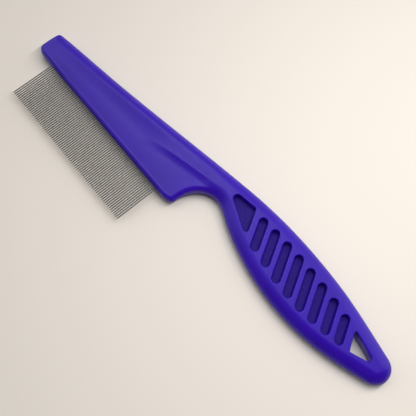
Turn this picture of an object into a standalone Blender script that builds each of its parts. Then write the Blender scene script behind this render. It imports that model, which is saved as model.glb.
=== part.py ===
"""Flea comb: a moulded plastic body with a slotted grip, and one row of steel teeth.

The body is drawn in millimetres in its own plane. x runs from the nose to the tail, y runs from the
tooth side to the spine, and z = 0 is the mould's parting plane. (0, 0) is the root of the first tooth.
The teeth are wire bent double: each piece of wire makes two teeth, and its bend anchors it in the body.
"""

import math

import bmesh
import bpy
from mathutils import Euler, Matrix, Vector
from mathutils.geometry import delaunay_2d_cdt, interpolate_bezier

MM = 0.001

# Overall frame: the part's origin is under the middle of the comb, on the surface it lies on.
DRAWING_CENTRE_X = 90.175
DRAWING_CENTRE_Y = -8.46

# Teeth
TOOTH_COUNT = 78
ROW_LENGTH = 72.2
ROW_ANGLE = math.radians(-8.96)
TOOTH_LENGTH = 20.0
TOOTH_RADIUS = 0.25
TOOTH_TIP_LENGTH = 0.5
TOOTH_TIP_RADIUS = 0.12
TOOTH_SEAT = 5.5
WIRE_SIDES = 8
BEND_STEPS = 3
SOCKET_CLEARANCE = 0.05

# Body thickness, from the parting plane to one face
GRIP_HEIGHT = 4.0
TAIL_HEIGHT = 3.4
NOSE_HEIGHT = 3.3
BLADE_HEIGHT = 1.9

# Body edges: how far from the outline each rounded edge reaches
GRIP_EDGE = 5.0
SPINE_EDGE = 3.4
BLADE_EDGE = 1.3
NOTCH_EDGE = 2.0

# Blade face: a hollow between the spine's ridge and the lip above the teeth
HOLLOW_POWER = 2.2
HOLLOW_DEPTH = 0.3
LIP_INSET = 1.2

# Where the barrel of the grip runs out over the blade
BARREL_TIP_X = 57.0
BARREL_RUN = 36.0
BARREL_TIP_Y = 2.4
BARREL_RISE = 3.6
FLANK_WIDTH = 3.3
FLANK_POWER = 1.6

# Pockets in both faces of the grip, which leave a web in the middle
WEB_THICKNESS = 2.0
DRAFT = 0.09
SLOT_COUNT = 8
SLOT_RADIUS = 1.9
SLOT_PITCH = 6.47
SLOT_FIRST_X = 116.47
SLOT_LEAN = math.radians(20.3)
SLOT_MARGIN = 5.6
POCKET_CORNERS = [((93.3, 8.9), 1.9), ((112.8, -3.3), 1.2), ((108.3, 8.9), 0.9)]
HANG_HOLE_CORNERS = [((167.9, -2.8), 0.6), ((171.3, -10.95), 0.5), ((183.1, -8.45), 1.3)]
ARC_STEPS = 5

# Outline, anticlockwise. Each stretch is a Bezier curve: start, two handles, end, number of steps.
TOOTH_STRETCH = [
    ((-4.5, 0.71), (20.0, -3.15), (50.0, -7.88), (74.5, -11.75), 16),
]
NOTCH_STRETCHES = [
    ((74.5, -11.75), (78.5, -12.38), (80.5, -11.9), (80.9, -9.4), 6),
    ((80.9, -9.4), (81.9, -3.0), (87.2, 1.6), (91.9, 1.6), 9),
]
GRIP_STRETCHES = [
    ((91.9, 1.6), (97.8, 1.6), (97.7, -1.27), (110.8, -7.55), 7),
    ((110.8, -7.55), (124.8, -14.25), (140.5, -18.2), (156.0, -18.2), 9),
    ((156.0, -18.2), (166.0, -18.2), (174.7, -16.7), (184.0, -15.1), 5),
    ((184.0, -15.1), (186.4, -14.7), (189.5, -12.2), (189.5, -8.9), 6),
    ((189.5, -8.9), (189.5, -5.2), (187.4, -3.25), (184.5, -2.3), 6),
]
SPINE_STRETCHES = [
    ((184.5, -2.3), (174.0, 1.15), (164.5, 4.9), (153.0, 7.65), 7),
    ((153.0, 7.65), (136.0, 11.7), (119.0, 14.1), (100.0, 14.1), 10),
    ((100.0, 14.1), (78.0, 14.1), (53.0, 13.15), (30.0, 13.15), 12),
    ((30.0, 13.15), (18.0, 13.15), (7.0, 13.6), (-4.9, 13.6), 7),
]
NOSE_STRETCHES = [
    ((-4.9, 13.6), (-7.2, 13.6), (-7.75, 12.8), (-7.95, 11.3), 4),
    ((-7.95, 11.3), (-8.4, 9.0), (-8.8, 7.0), (-9.15, 4.6), 2),
    ((-9.15, 4.6), (-9.45, 2.0), (-7.6, 1.2), (-4.5, 0.71), 5),
]
EDGE_RINGS = (0.15, 0.6, 1.3, 2.4, 3.7, 5.0)
FACE_GRID = 4.5

PLASTIC = ("violet_plastic", (0.105, 0.045, 0.50, 1.0), 0.35, 0.0)
STEEL = ("polished_steel", (0.72, 0.72, 0.74, 1.0), 0.22, 1.0)


def remove_everything():
    for item in list(bpy.data.objects):
        bpy.data.objects.remove(item, do_unlink=True)


def make_material(name, colour, roughness, metallic):
    material = bpy.data.materials.new(name)
    material.use_nodes = True
    shader = material.node_tree.nodes["Principled BSDF"]
    shader.inputs["Base Color"].default_value = colour
    shader.inputs["Roughness"].default_value = roughness
    shader.inputs["Metallic"].default_value = metallic
    material.diffuse_color = colour
    return material


def to_part(x, y, z):
    """A point of the drawing, in millimetres, as a point of the part, in metres."""
    return Vector((x - DRAWING_CENTRE_X, y - DRAWING_CENTRE_Y, z + GRIP_HEIGHT)) * MM


def curve_points(stretches):
    """Points along a chain of Bezier stretches, without the last one."""
    points = []
    for start, first_handle, last_handle, end, steps in stretches:
        knots = [Vector(knot) for knot in (start, first_handle, last_handle, end)]
        points += interpolate_bezier(*knots, steps + 1)[:-1]
    return [point.to_2d() for point in points]


def distance_to_path(point, path):
    """Shortest distance from a point to a chain of straight pieces."""
    nearest = math.inf
    for start, end in zip(path, path[1:]):
        piece = end - start
        share = min(max((point - start).dot(piece) / piece.length_squared, 0.0), 1.0)
        nearest = min(nearest, (point - start - piece * share).length)
    return nearest


def smooth_step(low, high, value):
    share = min(max((value - low) / (high - low), 0.0), 1.0)
    return share * share * (3.0 - 2.0 * share)


def blend(first, second, share):
    return first + (second - first) * share


def dome(share):
    """Quarter of an ellipse: 0 at the outline, 1 where the edge's rounding ends."""
    inside = 1.0 - min(max(share, 0.0), 1.0)
    return math.sqrt(max(1.0 - inside * inside, 0.0))


class BodyShape:
    """The body's outline, and how far its face stands off the parting plane at each point."""

    def __init__(self):
        lower = curve_points(TOOTH_STRETCH + NOTCH_STRETCHES + GRIP_STRETCHES)
        spine = curve_points(SPINE_STRETCHES)
        nose = curve_points(NOSE_STRETCHES)
        self.loop = lower + spine + nose
        self.spine = spine + nose[:1]
        self.blade_edge = nose + lower

    def edge_distance(self, point):
        return distance_to_path(point, self.loop + self.loop[:1])

    def ridge_height(self, x):
        return blend(NOSE_HEIGHT, GRIP_HEIGHT, smooth_step(-9.0, 55.0, x))

    def hollow_face(self, point, spine_distance):
        """Face that falls from the spine's ridge to the lip above the teeth."""
        along_row = Vector((math.cos(ROW_ANGLE), math.sin(ROW_ANGLE)))
        tooth_distance = along_row.x * point.y - along_row.y * point.x
        from_ridge = max(spine_distance - SPINE_EDGE, 0.0)
        from_lip = max(tooth_distance - LIP_INSET, 0.001)
        across = from_ridge / (from_ridge + from_lip)
        fall = (1.0 - across) ** HOLLOW_POWER
        hollow = HOLLOW_DEPTH * 4.0 * across * (1.0 - across) * smooth_step(-8.0, 8.0, point.x)
        return BLADE_HEIGHT + (self.ridge_height(point.x) - BLADE_HEIGHT) * fall - hollow

    def barrel_face(self, point):
        """Face of the grip's barrel, with the flank that drops from it to the flat blade."""
        along = min(max((point.x - BARREL_TIP_X) / BARREL_RUN, 0.0), 1.0)
        top_y = BARREL_TIP_Y + BARREL_RISE * along ** 0.6
        share = min(max((point.y - top_y) / FLANK_WIDTH + 1.0, 0.0), 1.0)
        return blend(BLADE_HEIGHT, self.ridge_height(point.x), share ** FLANK_POWER)

    def head_height(self, point):
        spine_distance = distance_to_path(point, self.spine)
        hollow = self.hollow_face(point, spine_distance)
        face = blend(hollow, self.barrel_face(point), smooth_step(50.0, 70.0, point.x))
        edge = blend(BLADE_EDGE, NOTCH_EDGE, smooth_step(74.0, 82.0, point.x))
        blade_distance = distance_to_path(point, self.blade_edge)
        return face * min(dome(blade_distance / edge), dome(spine_distance / SPINE_EDGE))

    def grip_height(self, point):
        thickness = blend(GRIP_HEIGHT, TAIL_HEIGHT, smooth_step(168.0, 190.0, point.x))
        return thickness * dome(self.edge_distance(point) / GRIP_EDGE)

    def height(self, point):
        share = smooth_step(83.0, 93.0, point.x)
        head = self.head_height(point) if share < 1.0 else 0.0
        grip = self.grip_height(point) if share > 0.0 else 0.0
        return blend(head, grip, share)

    def ring_points(self, inset):
        """The outline moved inwards, without the points that would cross at a tight corner."""
        points = []
        for before, here, after in zip(self.loop[-1:] + self.loop, self.loop, self.loop[1:] + self.loop[:1]):
            along = (after - before).normalized()
            moved = here + Vector((-along.y, along.x)) * inset
            if self.edge_distance(moved) > 0.95 * inset:
                points.append(moved)
        return points

    def face_points(self):
        """Points of a staggered grid inside the last ring."""
        points = []
        rows = int(36.0 / FACE_GRID)
        columns = int(200.0 / FACE_GRID)
        for row in range(rows):
            for column in range(columns):
                x = -9.0 + FACE_GRID * (column + 0.5 * (row % 2))
                point = Vector((x, -19.0 + FACE_GRID * row))
                inside = self.is_inside(point)
                if inside and self.edge_distance(point) > EDGE_RINGS[-1] + 0.4 * FACE_GRID:
                    points.append(point)
        return points

    def is_inside(self, point):
        inside = False
        for start, end in zip(self.loop, self.loop[1:] + self.loop[:1]):
            if (start.y > point.y) != (end.y > point.y):
                cross_x = start.x + (point.y - start.y) / (end.y - start.y) * (end.x - start.x)
                inside = inside != (point.x < cross_x)
        return inside


def body_mesh(shape):
    """Both faces of the body, joined along the outline."""
    points = list(shape.loop)
    for inset in EDGE_RINGS:
        points += shape.ring_points(inset)
    points += shape.face_points()
    rim = list(range(len(shape.loop)))
    flat, _, triangles, _, _, _ = delaunay_2d_cdt(points, [], [rim], 1, 0.0001)
    mesh = bmesh.new()
    upper, lower = [], []
    for index, point in enumerate(flat):
        height = 0.0 if index < len(rim) else shape.height(point)
        upper.append(mesh.verts.new(to_part(point.x, point.y, height)))
        on_rim = index < len(rim)
        lower.append(upper[-1] if on_rim else mesh.verts.new(to_part(point.x, point.y, -height)))
    for corners in triangles:
        mesh.faces.new([upper[corner] for corner in corners])
        mesh.faces.new([lower[corner] for corner in reversed(corners)])
    return mesh


def add_prism(mesh, levels):
    """Add a closed solid through loops of equal length, listed from the bottom up."""
    rings = [[mesh.verts.new(point) for point in level] for level in levels]
    for low, high in zip(rings, rings[1:]):
        for index in range(len(low)):
            following = (index + 1) % len(low)
            mesh.faces.new([low[index], low[following], high[following], high[index]])
    mesh.faces.new(list(reversed(rings[0])))
    mesh.faces.new(rings[-1])


def rounded_polygon(corners, inset):
    """Anticlockwise polygon with rounded corners, made smaller by an inset."""
    points = []
    count = len(corners)
    for index, (corner, radius) in enumerate(corners):
        corner = Vector(corner)
        to_last = (Vector(corners[index - 1][0]) - corner).normalized()
        to_next = (Vector(corners[(index + 1) % count][0]) - corner).normalized()
        inward = (to_last + to_next).normalized()
        half_angle = 0.5 * to_last.angle(to_next)
        centre = corner + inward * (radius / math.sin(half_angle))
        turn = math.pi - 2.0 * half_angle
        start = math.atan2(-inward.y, -inward.x) - 0.5 * turn
        for step in range(ARC_STEPS):
            angle = start + turn * step / (ARC_STEPS - 1)
            points.append(centre + Vector((math.cos(angle), math.sin(angle))) * (radius - inset))
    return points


def slot_outline(first, last, inset):
    """Anticlockwise outline of a slot with round ends, between the centres of its ends."""
    along = (last - first).normalized()
    heading = math.atan2(along.y, along.x)
    points = []
    for centre, start in ((last, heading - 0.5 * math.pi), (first, heading + 0.5 * math.pi)):
        for step in range(ARC_STEPS):
            angle = start + math.pi * step / (ARC_STEPS - 1)
            points.append(centre + Vector((math.cos(angle), math.sin(angle))) * (SLOT_RADIUS - inset))
    return points


def slot_end(shape, start, direction):
    """Centre of a slot's round end: its far side keeps the margin to the outline."""
    reach = 0.0
    while shape.edge_distance(start + direction * (reach + SLOT_RADIUS)) > SLOT_MARGIN:
        reach += 0.05
    return start + direction * reach


def add_pockets(mesh, outline):
    """Add the cutters for one pocket in each face. outline(inset) draws it at any depth."""
    outer = GRIP_HEIGHT + 1.0
    floor = 0.5 * WEB_THICKNESS
    for low, high in ((floor, outer), (-outer, -floor)):
        levels = []
        for z in (low, high):
            inset = (GRIP_HEIGHT - abs(z)) * DRAFT
            levels.append([to_part(point.x, point.y, z) for point in outline(inset)])
        add_prism(mesh, levels)


def add_through_hole(mesh, outline):
    """Add the cutter for a hole that narrows from both faces to the parting plane."""
    outer = GRIP_HEIGHT + 1.0
    levels = []
    for z in (-outer, 0.0, outer):
        inset = (GRIP_HEIGHT - abs(z)) * DRAFT
        levels.append([to_part(point.x, point.y, z) for point in outline(inset)])
    add_prism(mesh, levels)


def grip_cutter_mesh(shape):
    mesh = bmesh.new()
    lean = Vector((math.sin(SLOT_LEAN), -math.cos(SLOT_LEAN)))
    for index in range(SLOT_COUNT):
        middle = Vector((SLOT_FIRST_X + SLOT_PITCH * index, 0.0)) + lean * 4.0
        first = slot_end(shape, middle, -lean)
        last = slot_end(shape, middle, lean)
        add_pockets(mesh, lambda inset: slot_outline(first, last, inset))
    add_pockets(mesh, lambda inset: rounded_polygon(POCKET_CORNERS, inset))
    add_through_hole(mesh, lambda inset: rounded_polygon(HANG_HOLE_CORNERS, inset))
    return mesh


def tooth_spacing():
    return ROW_LENGTH / (TOOTH_COUNT - 1)


def socket_mesh():
    """Blind socket for one bent wire. Its local -Y runs out of the body, and X is along the row."""
    radius = TOOTH_RADIUS + SOCKET_CLEARANCE
    half_spacing = 0.5 * tooth_spacing()
    depth = TOOTH_SEAT + half_spacing + radius
    section = []
    for side in (1.0, -1.0):
        for step in range(ARC_STEPS - 1):
            angle = math.pi * (step / (ARC_STEPS - 2) - 0.5)
            section.append((side * (half_spacing + radius * math.cos(angle)), side * radius * math.sin(angle)))
    levels = [[Vector((x, y, z)) * MM for x, z in reversed(section)] for y in (-BLADE_EDGE, depth)]
    mesh = bmesh.new()
    add_prism(mesh, levels)
    return mesh


def wire_path():
    """Centre line of one bent wire, as (point, direction, radius), from tip to tip."""
    half_spacing = 0.5 * tooth_spacing()
    stations = []
    for y, radius in ((-TOOTH_LENGTH, TOOTH_TIP_RADIUS), (TOOTH_TIP_LENGTH - TOOTH_LENGTH, TOOTH_RADIUS)):
        stations.append((Vector((-half_spacing, y, 0.0)), Vector((0.0, 1.0, 0.0)), radius))
    for step in range(BEND_STEPS + 1):
        angle = math.pi * (1.0 - step / BEND_STEPS)
        point = Vector((math.cos(angle) * half_spacing, TOOTH_SEAT + math.sin(angle) * half_spacing, 0.0))
        stations.append((point, Vector((math.sin(angle), -math.cos(angle), 0.0)), TOOTH_RADIUS))
    for point, direction, radius in reversed(stations[:2]):
        stations.append((Vector((-point.x, point.y, 0.0)), -direction, radius))
    return stations


def tooth_pair_mesh():
    levels = []
    for point, direction, radius in wire_path():
        sideways = Vector((0.0, 0.0, 1.0)).cross(direction)
        ring = []
        for side in range(WIRE_SIDES):
            angle = 2.0 * math.pi * (side + 0.5) / WIRE_SIDES
            offset = sideways * math.cos(angle) - Vector((0.0, 0.0, math.sin(angle)))
            ring.append((point + offset * radius) * MM)
        levels.append(ring)
    mesh = bmesh.new()
    add_prism(mesh, levels)
    return mesh


def pair_placing(index):
    """Location and rotation of one bent wire, or of its socket."""
    middle = tooth_spacing() * (2 * index + 0.5)
    x = middle * math.cos(ROW_ANGLE)
    y = middle * math.sin(ROW_ANGLE)
    return to_part(x, y, 0.0), Euler((0.0, 0.0, ROW_ANGLE))


def socket_cutter_mesh():
    mesh = bmesh.new()
    for index in range(TOOTH_COUNT // 2):
        location, rotation = pair_placing(index)
        single = socket_mesh()
        single.transform(rotation.to_matrix().to_4x4())
        single.transform(Matrix.Translation(location))
        holder = bpy.data.meshes.new("socket")
        single.to_mesh(holder)
        mesh.from_mesh(holder)
        bpy.data.meshes.remove(holder)
    return mesh


def add_object(name, source, material=None):
    """Make an object from a bmesh, or from a mesh that other objects share."""
    data = source
    if isinstance(source, bmesh.types.BMesh):
        bmesh.ops.recalc_face_normals(source, faces=source.faces)
        data = bpy.data.meshes.new(name)
        source.to_mesh(data)
        source.free()
        if material:
            data.materials.append(material)
    item = bpy.data.objects.new(name, data)
    bpy.context.scene.collection.objects.link(item)
    return item


def add_cut(body, name, mesh):
    cutter = add_object(name, mesh)
    cutter.hide_render = True
    cutter.display_type = "WIRE"
    cut = body.modifiers.new(name, "BOOLEAN")
    cut.operation = "DIFFERENCE"
    cut.solver = "EXACT"
    cut.object = cutter


def build_body():
    shape = BodyShape()
    body = add_object("comb_body", body_mesh(shape), make_material(*PLASTIC))
    body.data.shade_smooth()
    body.data.set_sharp_from_angle(angle=math.radians(35.0))
    add_cut(body, "grip_pocket_cutter", grip_cutter_mesh(shape))
    add_cut(body, "tooth_socket_cutter", socket_cutter_mesh())


def build_teeth():
    first = add_object("tooth_pair_01", tooth_pair_mesh(), make_material(*STEEL))
    first.data.shade_smooth()
    pairs = [first]
    for index in range(1, TOOTH_COUNT // 2):
        pairs.append(add_object(f"tooth_pair_{index + 1:02d}", first.data))
    for index, pair in enumerate(pairs):
        pair.location, pair.rotation_euler = pair_placing(index)


remove_everything()
build_body()
build_teeth()
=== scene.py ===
"""Looks of the flea comb: a moulded violet plastic body and polished steel teeth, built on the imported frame.

The body is drawn in millimetres in its own plane, as in the part: x runs from the nose to the tail, y runs
from the tooth side to the spine, z = 0 is the mould's parting plane, and (0, 0) is the first tooth's root.
"""

import math

import bpy
import numpy as np
from mathutils import Euler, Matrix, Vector
from mathutils.geometry import delaunay_2d_cdt, interpolate_bezier


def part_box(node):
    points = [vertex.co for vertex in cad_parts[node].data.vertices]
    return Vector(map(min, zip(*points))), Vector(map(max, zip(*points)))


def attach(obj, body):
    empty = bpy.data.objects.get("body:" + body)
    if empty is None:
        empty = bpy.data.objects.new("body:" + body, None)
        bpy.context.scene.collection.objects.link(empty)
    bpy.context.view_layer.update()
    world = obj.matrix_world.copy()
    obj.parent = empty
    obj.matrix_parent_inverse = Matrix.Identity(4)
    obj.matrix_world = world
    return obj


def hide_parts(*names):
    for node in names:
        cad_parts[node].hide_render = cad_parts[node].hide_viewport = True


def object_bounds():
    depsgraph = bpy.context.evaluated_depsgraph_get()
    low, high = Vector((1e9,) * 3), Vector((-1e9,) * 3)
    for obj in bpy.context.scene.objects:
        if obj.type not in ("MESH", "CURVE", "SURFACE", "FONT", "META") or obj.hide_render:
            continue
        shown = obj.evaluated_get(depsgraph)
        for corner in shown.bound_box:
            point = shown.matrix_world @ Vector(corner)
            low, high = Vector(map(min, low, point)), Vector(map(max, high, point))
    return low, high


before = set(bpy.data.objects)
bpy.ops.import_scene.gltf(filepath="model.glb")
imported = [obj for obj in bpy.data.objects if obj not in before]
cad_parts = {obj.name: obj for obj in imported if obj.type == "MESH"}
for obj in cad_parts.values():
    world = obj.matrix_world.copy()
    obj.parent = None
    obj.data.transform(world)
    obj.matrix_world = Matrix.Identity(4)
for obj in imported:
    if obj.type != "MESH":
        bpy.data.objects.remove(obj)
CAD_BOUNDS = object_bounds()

MM = 0.001

# Teeth
TOOTH_COUNT = 78
ROW_LENGTH = 72.2
ROW_ANGLE = math.radians(-8.96)
TOOTH_LENGTH = 20.0
TOOTH_RADIUS = 0.25
TOOTH_SEAT = 5.5
WIRE_SIDES = 14
BEND_STEPS = 8
TIP_STEPS = 5
TIP_LENGTH = 0.45

# Body thickness, from the parting plane to one face
GRIP_HEIGHT = 4.0
TAIL_HEIGHT = 3.4
NOSE_HEIGHT = 3.3
BLADE_HEIGHT = 1.9

# Stretches along x where one form of the body goes over into the next
RIDGE_RISE_X = (-9.0, 55.0)
HOLLOW_START_X = (-10.0, 11.0)
BARREL_START_X = (50.0, 70.0)
NOTCH_START_X = (74.0, 82.0)
LIP_END_X = (84.0, 90.0)
GRIP_START_X = (83.0, 93.0)
TAIL_TAPER_X = (168.0, 190.0)

# Body edges: how far from the outline each rounded edge reaches
GRIP_EDGE = 5.0
SPINE_EDGE = 4.2
BLADE_EDGE = 1.3
NOTCH_EDGE = 2.0

# Body edges: how round each one is, from 1 for a chamfer to 2 for an ellipse
SPINE_POWER = 1.6
BLADE_POWER = 2.0
GRIP_POWER = 1.6

# Blade face: it falls from the spine's ridge into a hollow, then more gently to the lip above the teeth
CREST_ROUNDING = 1.0
HOLLOW_MIDDLE = 0.47
LOWER_RISE = 0.9
LOWER_POWER = 1.5
LIP_INSET = 1.2
LIP_HEIGHT = 0.15
LIP_WIDTH = 0.32
LIP_GAP = 0.2

# Where the barrel of the grip runs out over the blade
BARREL_TIP_X = 57.0
BARREL_RUN = 36.0
BARREL_TIP_Y = 2.4
BARREL_RISE = 3.6
FLANK_WIDTH = 2.9
FLANK_POWER = 1.35
BARREL_SINK = 0.25
BARREL_SINK_WIDTH = 3.5

# Pockets in both faces of the grip
POCKET_FLOOR = 1.0
DRAFT = 0.09
RIM_RADIUS = 0.35
FLOOR_FILLET = 0.55
SLOT_COUNT = 8
SLOT_RADIUS = 1.9
SLOT_PITCH = 6.47
SLOT_FIRST_X = 116.47
SLOT_LEAN = math.radians(20.3)
SLOT_MARGIN = 5.6
SLOT_START_DEPTH = 4.0
POCKET_CORNERS = [((93.3, 8.9), 1.9), ((112.8, -3.3), 1.2), ((108.3, 8.9), 0.9)]
HANG_HOLE_CORNERS = [((167.9, -2.8), 0.6), ((171.3, -10.95), 0.5), ((183.1, -8.45), 1.3)]

# Outline, anticlockwise. Each stretch is a Bezier curve: start, two handles, end.
TOOTH_STRETCH = [
    ((-4.5, 0.71), (20.0, -3.15), (50.0, -7.88), (74.5, -11.75)),
]
NOTCH_STRETCHES = [
    ((74.5, -11.75), (78.5, -12.38), (80.5, -11.9), (80.9, -9.4)),
    ((80.9, -9.4), (81.9, -3.0), (87.2, 1.6), (91.9, 1.6)),
]
GRIP_STRETCHES = [
    ((91.9, 1.6), (97.8, 1.6), (97.7, -1.27), (110.8, -7.55)),
    ((110.8, -7.55), (124.8, -14.25), (140.5, -18.2), (156.0, -18.2)),
    ((156.0, -18.2), (166.0, -18.2), (174.7, -16.7), (184.0, -15.1)),
    ((184.0, -15.1), (186.4, -14.7), (189.5, -12.2), (189.5, -8.9)),
    ((189.5, -8.9), (189.5, -5.2), (187.4, -3.25), (184.5, -2.3)),
]
SPINE_STRETCHES = [
    ((184.5, -2.3), (174.0, 1.15), (164.5, 4.9), (153.0, 7.65)),
    ((153.0, 7.65), (136.0, 11.7), (119.0, 14.1), (100.0, 14.1)),
    ((100.0, 14.1), (78.0, 14.1), (53.0, 13.15), (30.0, 13.15)),
    ((30.0, 13.15), (18.0, 13.15), (7.0, 13.6), (-4.9, 13.6)),
]
NOSE_STRETCHES = [
    ((-4.9, 13.6), (-7.2, 13.6), (-7.75, 12.8), (-7.95, 11.3)),
    ((-7.95, 11.3), (-8.4, 9.0), (-8.8, 7.0), (-9.15, 4.6)),
    ((-9.15, 4.6), (-9.45, 2.0), (-7.6, 1.2), (-4.5, 0.71)),
]

# Camera, in metres and degrees, and its lens in millimetres
CAMERA_PLACE = Vector((0.04102, -0.05174, 0.24532))
CAMERA_TURN = (15.785, -2.055, 41.088)
CAMERA_LENS = 52.98

# Light by how far its direction leans towards the tent's bright side
TENT_SIDE = (-0.665, 0.747, 0.0)
TENT_LIGHT = [(-0.22, 0.03), (-0.06, 0.42), (0.08, 0.95), (0.35, 1.0), (0.55, 0.7), (0.75, 0.3), (1.0, 0.3)]
TENT_STRENGTH = 1.15

# Two lamps: a round softbox over the tent's bright side, and a thin strip beside the camera
SOFTBOX_SIZE = 0.30
SOFTBOX_DISTANCE = 0.65
SOFTBOX_LEAN = 0.40
SOFTBOX_RISE = 0.915
SOFTBOX_WATTS = 0.35
STRIP_WIDTH = 0.012
STRIP_LENGTH = 0.26
STRIP_OFFSET = 0.16
STRIP_WATTS = 0.46

# The plastic lets some light through, so it looks darker where it is thin. The thin and blade violets paint
# that as shade into the base colour: darkest on the pocket floors, a little darker on the blade.
THICK_VIOLET = (0.032, 0.003, 0.385, 1.0)
BLADE_SHADED_VIOLET = (0.032, 0.003, 0.37, 1.0)
THIN_SHADED_VIOLET = (0.018, 0.004, 0.20, 1.0)
# Both steel colours are much darker than bare steel: painted shade for the dark room the wires reflect. The
# streaks between them along each wire are the drawn steel's own grain.
SHADED_STEEL_DARK = (0.20, 0.20, 0.195, 1.0)
SHADED_STEEL_LIGHT = (0.27, 0.27, 0.265, 1.0)
FLOOR_CREAM = (0.83, 0.765, 0.69, 1.0)

# How finely the body's surface is drawn
OUTLINE_STEP = 0.5
FACE_STEP = 0.85
ARC_STEPS = 12
EDGE_REACH = 5.3
EDGE_RINGS = [EDGE_REACH * (1.0 - math.cos(math.radians(angle))) for angle in range(3, 91, 3)]
CREASE_RINGS = (-0.5, -0.2, 0.0, 0.15)


def curve_points(stretches):
    """Evenly close points along a chain of Bezier stretches, without the last one."""
    points = []
    for stretch in stretches:
        knots = [Vector(knot) for knot in stretch]
        steps = max(math.ceil((knots[3] - knots[0]).length / OUTLINE_STEP), 4)
        points += interpolate_bezier(*knots, steps + 1)[:-1]
    return np.array([point[:2] for point in points])


def distance_to_path(points, path):
    """Shortest distance from each point to a chain of straight pieces."""
    start = path[:-1]
    piece = path[1:] - start
    square = (piece * piece).sum(axis=1)
    nearest = []
    for batch in np.array_split(points, len(points) // 2000 + 1):
        offset = batch[:, None] - start[None]
        share = np.clip((offset * piece).sum(axis=2) / square, 0.0, 1.0)
        gap = offset - share[..., None] * piece
        nearest.append(np.sqrt((gap * gap).sum(axis=2).min(axis=1)))
    return np.concatenate(nearest)


def smooth_step(low, high, value):
    """0 up to the low value, 1 from the high one, and a smooth rise between them."""
    share = np.clip((value - low) / (high - low), 0.0, 1.0)
    return share * share * (3.0 - 2.0 * share)


def blend(first, second, share):
    return first + (second - first) * share


def dome(share, power):
    """Rise of a rounded edge, 0 at the outline and 1 at its end. Power 2 is an ellipse, 1 a chamfer."""
    inside = 1.0 - np.clip(share, 0.0, 1.0)
    return (1.0 - inside ** power) ** (1.0 / power)


def crease_y(x):
    """Upper edge of the flank where the grip's barrel drops to the blade."""
    along = np.clip((x - BARREL_TIP_X) / BARREL_RUN, 0.0, 1.0)
    return BARREL_TIP_Y + BARREL_RISE * along ** 0.6


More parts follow.
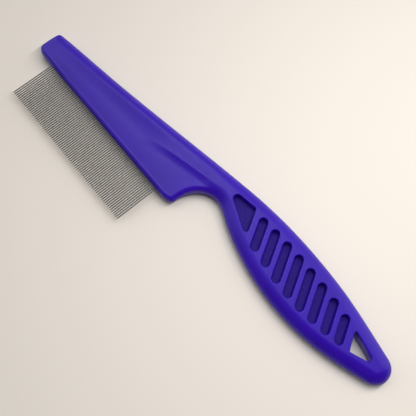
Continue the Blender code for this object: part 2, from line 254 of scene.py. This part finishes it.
class BodyShape:
    """The body's outline, and how far its face stands off the parting plane at each point."""

    def __init__(self):
        lower = curve_points(TOOTH_STRETCH + NOTCH_STRETCHES + GRIP_STRETCHES)
        spine = curve_points(SPINE_STRETCHES)
        nose = curve_points(NOSE_STRETCHES)
        self.loop = np.concatenate([lower, spine, nose])
        self.closed = np.concatenate([self.loop, self.loop[:1]])
        self.spine = np.concatenate([spine, nose[:1]])
        self.blade_edge = np.concatenate([nose, lower])

    def edge_distance(self, points):
        return distance_to_path(points, self.closed)

    def ridge_height(self, x):
        return blend(NOSE_HEIGHT, GRIP_HEIGHT, smooth_step(*RIDGE_RISE_X, x))

    def lower_face(self, below, from_lip):
        """Face that rises gently from the lip, by how far a point is below the rise's upper end."""
        lower = below / (below + from_lip)
        return BLADE_HEIGHT + LOWER_RISE * (1.0 - lower ** LOWER_POWER)

    def hollow_face(self, x, from_ridge, from_lip):
        """Face that falls from the spine's ridge into the hollow, and on to the lip above the teeth."""
        whole = from_ridge + from_lip
        upper = np.clip(1.0 - from_ridge / (HOLLOW_MIDDLE * whole), 0.0, 1.0)
        lower = self.lower_face(np.maximum(from_ridge - HOLLOW_MIDDLE * whole, 0.0), from_lip)
        drop = self.ridge_height(x) - BLADE_HEIGHT - LOWER_RISE
        hollow = lower + drop * upper ** 2
        return blend(self.ridge_height(x), hollow, smooth_step(*HOLLOW_START_X, x))

    def barrel_face(self, points, from_ridge, from_lip):
        """Face of the grip's barrel, with the flank that drops from it to the blade."""
        x, y = points.T
        above_foot = y - crease_y(x) + FLANK_WIDTH
        share = np.clip(above_foot / FLANK_WIDTH, 0.0, 1.0)
        top = self.ridge_height(x) - BARREL_SINK * smooth_step(0.0, BARREL_SINK_WIDTH, from_ridge)
        lower = self.lower_face(np.maximum(-above_foot, 0.0), from_lip)
        return blend(lower, top, share ** FLANK_POWER)

    def heights(self, points):
        """The face's height at each point, and the same without its rounded edges."""
        x, y = points.T
        spine_distance = distance_to_path(points, self.spine)
        blade_distance = distance_to_path(points, self.blade_edge)
        inward = np.maximum(spine_distance - SPINE_EDGE, 0.0)
        from_ridge = np.hypot(inward, CREST_ROUNDING) - CREST_ROUNDING
        tooth_distance = math.cos(ROW_ANGLE) * y - math.sin(ROW_ANGLE) * x
        from_lip = np.maximum(tooth_distance - LIP_INSET, 0.001)
        hollow = self.hollow_face(x, from_ridge, from_lip)
        barrel = self.barrel_face(points, from_ridge, from_lip)
        head = blend(hollow, barrel, smooth_step(*BARREL_START_X, x))
        edge = blend(BLADE_EDGE, NOTCH_EDGE, smooth_step(*NOTCH_START_X, x))
        lip = LIP_HEIGHT * np.exp(-((blade_distance - edge - LIP_GAP) / LIP_WIDTH) ** 2)
        head = head + lip * (1.0 - smooth_step(*LIP_END_X, x))
        head_edges = dome(blade_distance / edge, BLADE_POWER) * dome(spine_distance / SPINE_EDGE, SPINE_POWER)
        grip = blend(GRIP_HEIGHT, TAIL_HEIGHT, smooth_step(*TAIL_TAPER_X, x))
        grip_edges = dome(np.minimum(spine_distance, blade_distance) / GRIP_EDGE, GRIP_POWER)
        along = smooth_step(*GRIP_START_X, x)
        return blend(head * head_edges, grip * grip_edges, along), blend(head, grip, along)

    def ring_points(self, inset):
        """The outline moved inwards, without the points that would cross at a tight corner."""
        along = np.roll(self.loop, -1, axis=0) - np.roll(self.loop, 1, axis=0)
        along /= np.linalg.norm(along, axis=1)[:, None]
        moved = self.loop + np.stack([-along[:, 1], along[:, 0]], axis=1) * inset
        return moved[self.edge_distance(moved) > 0.97 * inset]

    def inside(self, points):
        x, y = points.T
        crossings = np.zeros(len(points), dtype=int)
        for (start_x, start_y), (end_x, end_y) in zip(self.closed, self.closed[1:]):
            if start_y == end_y:
                continue
            spans = (start_y > y) != (end_y > y)
            cross_x = start_x + (y - start_y) / (end_y - start_y) * (end_x - start_x)
            crossings += spans & (x < cross_x)
        return crossings % 2 == 1

    def face_points(self, crease):
        """Points of a staggered grid inside the last ring and clear of the crease."""
        low, high = self.loop.min(axis=0), self.loop.max(axis=0)
        rows = np.arange(low[1], high[1], FACE_STEP * 0.87)
        points = []
        for index, y in enumerate(rows):
            x = np.arange(low[0] + 0.5 * FACE_STEP * (index % 2), high[0], FACE_STEP)
            points.append(np.stack([x, np.full_like(x, y)], axis=1))
        points = np.concatenate(points)
        points = points[self.inside(points)]
        points = points[self.edge_distance(points) > EDGE_RINGS[-1] + 0.5 * FACE_STEP]
        return points[distance_to_path(points, crease) > 0.7 * FACE_STEP]


def rounded_polygon(corners, inset):
    """Anticlockwise polygon with rounded corners, made smaller by an inset."""
    points = []
    count = len(corners)
    for index, (corner, radius) in enumerate(corners):
        corner = Vector(corner)
        to_last = (Vector(corners[index - 1][0]) - corner).normalized()
        to_next = (Vector(corners[(index + 1) % count][0]) - corner).normalized()
        inward = (to_last + to_next).normalized()
        half_angle = 0.5 * to_last.angle(to_next)
        centre = corner + inward * (radius / math.sin(half_angle))
        turn = math.pi - 2.0 * half_angle
        start = math.atan2(-inward.y, -inward.x) - 0.5 * turn
        for step in range(ARC_STEPS):
            angle = start + turn * step / (ARC_STEPS - 1)
            points.append(centre + Vector((math.cos(angle), math.sin(angle))) * (radius - inset))
    return np.array(points)


def slot_outline(first, last, inset):
    """Anticlockwise outline of a slot with round ends, between the centres of its ends."""
    along = last - first
    heading = math.atan2(along[1], along[0])
    points = []
    for centre, start in ((last, heading - 0.5 * math.pi), (first, heading + 0.5 * math.pi)):
        angle = start + math.pi * np.arange(ARC_STEPS) / (ARC_STEPS - 1)
        points.append(centre + np.stack([np.cos(angle), np.sin(angle)], axis=1) * (SLOT_RADIUS - inset))
    return np.concatenate(points)


def side_pieces(points, step):
    """How many pieces each side of a loop is cut into, so that none is much longer than the step."""
    following = np.roll(points, -1, axis=0)
    return np.maximum(np.ceil(np.linalg.norm(following - points, axis=1) / step).astype(int), 1)


def fill_loop(points, pieces):
    """The loop with each side cut into its number of pieces."""
    following = np.roll(points, -1, axis=0)
    filled = []
    for here, after, count in zip(points, following, pieces):
        share = np.arange(count)[:, None] / count
        filled.append(here + (after - here) * share)
    return np.concatenate(filled)


def slot_end(shape, start, direction):
    """Centre of a slot's round end: its far side keeps the margin to the outline."""
    reach = np.arange(0.0, 20.0, 0.05)
    far_side = start + direction * (reach + SLOT_RADIUS)[:, None]
    stop = np.argmax(shape.edge_distance(far_side) <= SLOT_MARGIN)
    return start + direction * reach[stop]


def pocket_outlines(shape):
    """A function that draws each pocket at any inset, and whether the pocket goes right through."""
    lean = np.array([math.sin(SLOT_LEAN), -math.cos(SLOT_LEAN)])
    outlines = []
    for index in range(SLOT_COUNT):
        middle = np.array([SLOT_FIRST_X + SLOT_PITCH * index, 0.0]) + lean * SLOT_START_DEPTH
        first = slot_end(shape, middle, -lean)
        last = slot_end(shape, middle, lean)
        outlines.append((lambda inset, a=first, b=last: slot_outline(a, b, inset), False))
    outlines.append((lambda inset: rounded_polygon(POCKET_CORNERS, inset), False))
    outlines.append((lambda inset: rounded_polygon(HANG_HOLE_CORNERS, inset), True))
    return outlines


def pocket_profile(through):
    """Steps down a pocket: rounded rim, drafted wall and floor fillet.

    Each is (inset, value, below_rim). The value is a drop below the rim, or else a height.
    """
    profile = []
    for angle in np.radians(np.arange(12.0, 85.0, 12.0)):
        inset = RIM_RADIUS * (math.sin(angle) - 1.0)
        profile.append((inset, RIM_RADIUS * (1.0 - math.cos(angle)), True))
    bottom = 0.0 if through else POCKET_FLOOR + FLOOR_FILLET
    top = GRIP_HEIGHT - RIM_RADIUS
    for height in np.linspace(top, bottom, 6):
        profile.append(((GRIP_HEIGHT - height) * DRAFT, height, False))
    if not through:
        wall = profile[-1][0]
        for angle in np.radians(np.arange(18.0, 91.0, 18.0)):
            inset = wall + FLOOR_FILLET * (1.0 - math.cos(angle))
            profile.append((inset, bottom - FLOOR_FILLET * math.sin(angle), False))
    return profile


def in_convex(points, ring):
    """Whether each point is inside an anticlockwise convex ring."""
    following = np.roll(ring, -1, axis=0)
    inside = np.ones(len(points), dtype=bool)
    for here, after in zip(ring, following):
        side = after - here
        offset = points - here
        inside &= side[0] * offset[:, 1] - side[1] * offset[:, 0] > 0.0
    return inside


class HalfBody:
    """Vertices and faces of the body's upper half. The parting line's vertices are shared."""

    def __init__(self, shape):
        self.shape = shape
        self.vertices = []
        self.depths = []
        self.faces = []
        self.shared = set()

    def add_vertices(self, plane, heights, depths):
        """Vertices at these heights. Depths are how much plastic is under each, to the parting plane."""
        first = len(self.vertices)
        self.vertices += [(x, y, z) for (x, y), z in zip(plane, heights)]
        self.depths += list(np.broadcast_to(depths, len(plane)))
        return list(range(first, len(self.vertices)))

    def add_band(self, outer, inner):
        for index in range(len(outer)):
            following = (index + 1) % len(outer)
            self.faces.append([outer[index], outer[following], inner[following], inner[index]])

    def add_pocket(self, rim, outline, through):
        """Wall and floor of one pocket, down from its ring of rim vertices."""
        pieces = side_pieces(outline(-RIM_RADIUS), FACE_STEP)
        rim_height = np.array([self.vertices[index][2] for index in rim])
        last = rim
        for inset, value, below_rim in pocket_profile(through):
            heights = rim_height - value if below_rim else np.full(len(rim), value)
            on_floor = not below_rim and not through and value < POCKET_FLOOR + 0.5 * FLOOR_FILLET
            depth = POCKET_FLOOR if on_floor else GRIP_HEIGHT
            plane = fill_loop(outline(inset), pieces)
            ring = self.add_vertices(plane, np.minimum(heights, rim_height), depth)
            self.add_band(last, ring)
            last = ring
        if through:
            self.shared.update(last)
        else:
            self.faces.append(last)

    def add_face(self, pockets):
        """The curved face between the outline and the pockets' rims."""
        rims = []
        for outline, _ in pockets:
            ring = outline(-RIM_RADIUS)
            rims.append(fill_loop(ring, side_pieces(ring, FACE_STEP)))
        crease_x = np.arange(BARREL_TIP_X - 5.0, BARREL_TIP_X + BARREL_RUN, 0.4)
        crease = np.stack([crease_x, crease_y(crease_x)], axis=1)
        loose = [self.shape.ring_points(inset) for inset in EDGE_RINGS]
        loose += [crease + np.array([0.0, offset]) for offset in CREASE_RINGS]
        loose = np.concatenate(loose + [self.shape.face_points(crease)])
        for ring in rims:
            closed = np.concatenate([ring, ring[:1]])
            centre = ring.mean(axis=0)
            reach = np.linalg.norm(ring - centre, axis=1).max() + 0.3
            near = np.linalg.norm(loose - centre, axis=1) < reach
            blocked = np.zeros(len(loose), dtype=bool)
            blocked[near] = in_convex(loose[near], ring) | (distance_to_path(loose[near], closed) < 0.25)
            loose = loose[~blocked]
        fixed = np.concatenate([self.shape.loop] + rims)
        points = np.concatenate([fixed, loose])
        loops = []
        first = 0
        for loop in [self.shape.loop] + rims:
            loops.append(list(range(first, first + len(loop))))
            first += len(loop)
        edges = [(loop[i], loop[(i + 1) % len(loop)]) for loop in loops[1:] for i in range(len(loop))]
        flat = delaunay_2d_cdt([Vector(p) for p in points], edges, [loops[0]], 1, 0.00001)
        places = np.array([point[:] for point in flat[0]])
        heights, depths = self.shape.heights(places)
        outline_count = len(loops[0])
        heights[:outline_count] = 0.0
        self.add_vertices(places, heights, depths)
        self.shared.update(range(outline_count))
        owner = np.full(len(places), -1)
        for number, loop in enumerate(loops[1:]):
            owner[loop] = number
        for corners in flat[2]:
            owners = {owner[corner] for corner in corners}
            if len(owners) > 1 or -1 in owners:
                self.faces.append(list(corners))
        return loops[1:]


def body_place():
    """Where the drawing's (0, 0) is in the frame, in metres, from the CAD body's own box."""
    low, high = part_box("comb_body")
    outline = BodyShape().loop
    x = high[0] - outline[:, 0].max() * MM
    y = high[1] - outline[:, 1].max() * MM
    return Vector((x, y, 0.5 * (low[2] + high[2])))


def make_body(place):
    shape = BodyShape()
    pockets = pocket_outlines(shape)
    half = HalfBody(shape)
    for rim, (outline, through) in zip(half.add_face(pockets), pockets):
        half.add_pocket(rim, outline, through)
    count = len(half.vertices)
    upper = np.array(half.vertices)
    lower = upper * np.array([1.0, 1.0, -1.0])
    mirror = {index: index if index in half.shared else count + index for index in range(count)}
    faces = half.faces + [[mirror[index] for index in reversed(face)] for face in half.faces]
    used = sorted({index for face in faces for index in face})
    renumber = {old: new for new, old in enumerate(used)}
    vertices = np.concatenate([upper, lower])[used] * MM
    mesh = bpy.data.meshes.new("moulded_body")
    mesh.from_pydata(vertices.tolist(), [], [[renumber[index] for index in face] for face in faces])
    depth = mesh.attributes.new("plastic_depth", "FLOAT", "POINT")
    depth.data.foreach_set("value", np.array(half.depths * 2)[used])
    mesh.update()
    mesh.shade_smooth()
    body = bpy.data.objects.new("moulded_body", mesh)
    body.location = place
    bpy.context.scene.collection.objects.link(body)
    return body


def tooth_spacing():
    return ROW_LENGTH / (TOOTH_COUNT - 1)


def wire_stations():
    """Centre line of one bent wire, as (point, direction, radius), from tip to tip."""
    half_spacing = 0.5 * tooth_spacing()
    leg = []
    for step in range(TIP_STEPS + 1):
        angle = 0.5 * math.pi * (0.12 + 0.88 * step / TIP_STEPS)
        y = -TOOTH_LENGTH + TIP_LENGTH * (1.0 - math.cos(angle))
        leg.append((Vector((-half_spacing, y, 0.0)), Vector((0.0, 1.0, 0.0)), TOOTH_RADIUS * math.sin(angle)))
    bend = []
    for step in range(BEND_STEPS + 1):
        angle = math.pi * (1.0 - step / BEND_STEPS)
        point = Vector((math.cos(angle) * half_spacing, TOOTH_SEAT + math.sin(angle) * half_spacing, 0.0))
        bend.append((point, Vector((math.sin(angle), -math.cos(angle), 0.0)), TOOTH_RADIUS))
    back = []
    for point, direction, radius in reversed(leg):
        back.append((Vector((-point.x, point.y, 0.0)), -direction, radius))
    return leg + bend + back


def wire_mesh():
    vertices, faces = [], []
    stations = wire_stations()
    for point, direction, radius in stations:
        sideways = Vector((0.0, 0.0, 1.0)).cross(direction)
        for side in range(WIRE_SIDES):
            angle = 2.0 * math.pi * side / WIRE_SIDES
            offset = sideways * math.cos(angle) - Vector((0.0, 0.0, math.sin(angle)))
            vertices.append((point + offset * radius) * MM)
    for station in range(len(stations) - 1):
        low = station * WIRE_SIDES
        for side in range(WIRE_SIDES):
            following = (side + 1) % WIRE_SIDES
            faces.append([low + side, low + following, low + WIRE_SIDES + following, low + WIRE_SIDES + side])
    faces.append(list(range(WIRE_SIDES))[::-1])
    faces.append(list(range(len(vertices) - WIRE_SIDES, len(vertices))))
    mesh = bpy.data.meshes.new("tooth_wire")
    mesh.from_pydata(vertices, [], faces)
    mesh.update()
    mesh.shade_smooth()
    return mesh


def make_teeth(place):
    mesh = wire_mesh()
    wires = []
    for index in range(TOOTH_COUNT // 2):
        middle = tooth_spacing() * (2 * index + 0.5) * MM
        wire = bpy.data.objects.new(f"steel_wire_{index + 1:02d}", mesh)
        wire.location = place + Vector((math.cos(ROW_ANGLE), math.sin(ROW_ANGLE), 0.0)) * middle
        wire.rotation_euler = Euler((0.0, 0.0, ROW_ANGLE))
        bpy.context.scene.collection.objects.link(wire)
        wires.append(wire)
    return wires


def node(tree, kind, **values):
    made = tree.nodes.new(kind)
    for name, value in values.items():
        if hasattr(made, name):
            setattr(made, name, value)
        else:
            made.inputs[name.replace("_", " ")].default_value = value
    return made


def plastic_material():
    material = bpy.data.materials.new("violet_plastic")
    material.use_nodes = True
    tree = material.node_tree
    shader = tree.nodes["Principled BSDF"]
    shader.inputs["IOR"].default_value = 1.49
    shader.inputs["Specular IOR Level"].default_value = 0.42
    shader.inputs["Subsurface Weight"].default_value = 0.35
    shader.inputs["Subsurface Radius"].default_value = (0.3, 0.1, 1.0)
    shader.inputs["Subsurface Scale"].default_value = 0.0015
    place = node(tree, "ShaderNodeTexCoord")

    # Painted shade: the base colour darkens where less plastic lies under the face, most on the pocket floors,
    # for the light that passes through thin plastic.
    depth = node(tree, "ShaderNodeAttribute", attribute_name="plastic_depth")
    share = node(tree, "ShaderNodeMapRange", From_Min=POCKET_FLOOR, From_Max=GRIP_HEIGHT)
    colours = node(tree, "ShaderNodeValToRGB")
    ramp = colours.color_ramp
    ramp.elements[0].color = THIN_SHADED_VIOLET
    ramp.elements[1].position = 0.7
    ramp.elements[1].color = THICK_VIOLET
    ramp.elements.new(0.3).color = BLADE_SHADED_VIOLET
    tree.links.new(depth.outputs["Fac"], share.inputs["Value"])
    tree.links.new(share.outputs["Result"], colours.inputs["Fac"])

    clouds = node(tree, "ShaderNodeTexNoise", Scale=70.0, Detail=4.0)
    shade = node(tree, "ShaderNodeMapRange", From_Min=0.3, From_Max=0.7, To_Min=0.94, To_Max=1.06)
    tinted = node(tree, "ShaderNodeVectorMath", operation="SCALE")
    tree.links.new(place.outputs["Object"], clouds.inputs["Vector"])
    tree.links.new(clouds.outputs["Fac"], shade.inputs["Value"])
    tree.links.new(colours.outputs["Color"], tinted.inputs[0])
    tree.links.new(shade.outputs["Result"], tinted.inputs["Scale"])
    tree.links.new(tinted.outputs["Vector"], shader.inputs["Base Color"])

    haze = node(tree, "ShaderNodeTexNoise", Scale=900.0, Detail=3.0)
    gloss = node(tree, "ShaderNodeMapRange", From_Min=0.3, From_Max=0.7, To_Min=0.32, To_Max=0.42)
    tree.links.new(place.outputs["Object"], haze.inputs["Vector"])
    tree.links.new(haze.outputs["Fac"], gloss.inputs["Value"])
    matt = node(tree, "ShaderNodeMapRange", From_Min=POCKET_FLOOR, From_Max=POCKET_FLOOR + 0.5, To_Min=0.3)
    matt.inputs["To Max"].default_value = 0.0
    rough = node(tree, "ShaderNodeMath", operation="ADD")
    tree.links.new(depth.outputs["Fac"], matt.inputs["Value"])
    tree.links.new(gloss.outputs["Result"], rough.inputs[0])
    tree.links.new(matt.outputs["Result"], rough.inputs[1])
    tree.links.new(rough.outputs["Value"], shader.inputs["Roughness"])

    peel = node(tree, "ShaderNodeTexNoise", Scale=1400.0, Detail=2.0)
    bump = node(tree, "ShaderNodeBump", Strength=0.25, Distance=0.00004)
    spark = node(tree, "ShaderNodeTexVoronoi", Scale=1100.0)
    pitted = node(tree, "ShaderNodeBump", Distance=0.0004)
    tree.links.new(place.outputs["Object"], peel.inputs["Vector"])
    tree.links.new(peel.outputs["Fac"], bump.inputs["Height"])
    tree.links.new(place.outputs["Object"], spark.inputs["Vector"])
    tree.links.new(spark.outputs["Distance"], pitted.inputs["Height"])
    tree.links.new(matt.outputs["Result"], pitted.inputs["Strength"])
    tree.links.new(bump.outputs["Normal"], pitted.inputs["Normal"])
    tree.links.new(pitted.outputs["Normal"], shader.inputs["Normal"])
    return material


def steel_material():
    material = bpy.data.materials.new("steel_wire")
    material.use_nodes = True
    tree = material.node_tree
    shader = tree.nodes["Principled BSDF"]
    shader.inputs["Metallic"].default_value = 1.0
    place = node(tree, "ShaderNodeTexCoord")
    stretch = node(tree, "ShaderNodeMapping")
    stretch.inputs["Scale"].default_value = (9000.0, 350.0, 9000.0)
    drawn = node(tree, "ShaderNodeTexNoise", Scale=1.0, Detail=3.0)
    tree.links.new(place.outputs["Object"], stretch.inputs["Vector"])
    tree.links.new(stretch.outputs["Vector"], drawn.inputs["Vector"])
    # Painted shade: the wire's base colour is kept dark, with streaks of drawn grain along it.
    colours = node(tree, "ShaderNodeMix", data_type="RGBA")
    colours.inputs["A"].default_value = SHADED_STEEL_DARK
    colours.inputs["B"].default_value = SHADED_STEEL_LIGHT
    tree.links.new(drawn.outputs["Fac"], colours.inputs["Factor"])
    tree.links.new(colours.outputs["Result"], shader.inputs["Base Color"])
    gloss = node(tree, "ShaderNodeMapRange", From_Min=0.3, From_Max=0.7, To_Min=0.18, To_Max=0.32)
    tree.links.new(drawn.outputs["Fac"], gloss.inputs["Value"])
    tree.links.new(gloss.outputs["Result"], shader.inputs["Roughness"])
    return material


def make_floor():
    bpy.ops.mesh.primitive_plane_add(size=4.0, location=(0.0, 0.0, CAD_BOUNDS[0][2]))
    floor = bpy.context.object
    floor.name = "floor"
    material = bpy.data.materials.new("pale_floor")
    material.use_nodes = True
    shader = material.node_tree.nodes["Principled BSDF"]
    shader.inputs["Base Color"].default_value = FLOOR_CREAM
    shader.inputs["Roughness"].default_value = 0.7
    shader.inputs["Specular IOR Level"].default_value = 0.2
    floor.data.materials.append(material)


def make_tent():
    """A light tent that is open towards the camera's lower side."""
    world = bpy.data.worlds.new("studio")
    bpy.context.scene.world = world
    world.use_nodes = True
    tree = world.node_tree
    place = node(tree, "ShaderNodeTexCoord")
    lean = node(tree, "ShaderNodeVectorMath", operation="DOT_PRODUCT")
    lean.inputs[1].default_value = TENT_SIDE
    share = node(tree, "ShaderNodeMapRange", From_Min=-1.0, From_Max=1.0)
    ramp = node(tree, "ShaderNodeValToRGB")
    elements = ramp.color_ramp.elements
    while len(elements) > 1:
        elements.remove(elements[-1])
    elements[0].position = 0.5 * TENT_LIGHT[0][0] + 0.5
    elements[0].color = [TENT_LIGHT[0][1]] * 3 + [1.0]
    for lean_value, strength in TENT_LIGHT[1:]:
        elements.new(0.5 * lean_value + 0.5).color = [strength] * 3 + [1.0]
    back = tree.nodes["Background"]
    back.inputs["Strength"].default_value = TENT_STRENGTH
    tree.links.new(place.outputs["Generated"], lean.inputs[0])
    tree.links.new(lean.outputs["Value"], share.inputs["Value"])
    tree.links.new(share.outputs["Result"], ramp.inputs["Fac"])
    tree.links.new(ramp.outputs["Color"], back.inputs["Color"])


def make_softbox():
    """A soft lamp above the tent's bright side."""
    light = bpy.data.lights.new("softbox", "AREA")
    light.shape = "DISK"
    light.size = SOFTBOX_SIZE
    light.energy = SOFTBOX_WATTS
    light.color = (1.0, 0.99, 0.97)
    lamp = bpy.data.objects.new("softbox", light)
    towards = (Vector(TENT_SIDE) * SOFTBOX_LEAN + Vector((0.0, 0.0, SOFTBOX_RISE))).normalized()
    lamp.location = towards * SOFTBOX_DISTANCE
    lamp.rotation_euler = towards.to_track_quat("Z", "Y").to_euler()
    bpy.context.scene.collection.objects.link(lamp)


def make_strip():
    """A strip lamp level with the camera and parallel to the teeth, so each tooth hides its own shadow."""
    light = bpy.data.lights.new("strip", "AREA")
    light.shape = "RECTANGLE"
    light.size = STRIP_WIDTH
    light.size_y = STRIP_LENGTH
    light.energy = STRIP_WATTS
    lamp = bpy.data.objects.new("strip", light)
    along_teeth = Vector((-math.sin(ROW_ANGLE), math.cos(ROW_ANGLE), 0.0))
    lamp.location = CAMERA_PLACE + along_teeth * STRIP_OFFSET
    lamp.rotation_euler = Euler((0.0, 0.0, ROW_ANGLE))
    lamp.visible_glossy = False
    bpy.context.scene.collection.objects.link(lamp)


def make_camera():
    camera = bpy.data.cameras.new("camera")
    camera.sensor_width = 36.0
    camera.lens = CAMERA_LENS
    camera.clip_start = 0.01
    item = bpy.data.objects.new("camera", camera)
    item.location = CAMERA_PLACE
    item.rotation_euler = Euler([math.radians(angle) for angle in CAMERA_TURN])
    bpy.context.scene.collection.objects.link(item)
    bpy.context.scene.camera = item


def dress(piece, material, node_name):
    piece.data.materials.clear()
    piece.data.materials.append(material)
    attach(piece, "root")
    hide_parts(node_name)


place = body_place()
dress(make_body(place), plastic_material(), "comb_body")
steel = steel_material()
for number, wire in enumerate(make_teeth(place), start=1):
    dress(wire, steel, f"tooth_pair_{number:02d}")
make_floor()
make_tent()
make_softbox()
make_strip()
make_camera()
bpy.context.scene.view_settings.view_transform = "Standard"
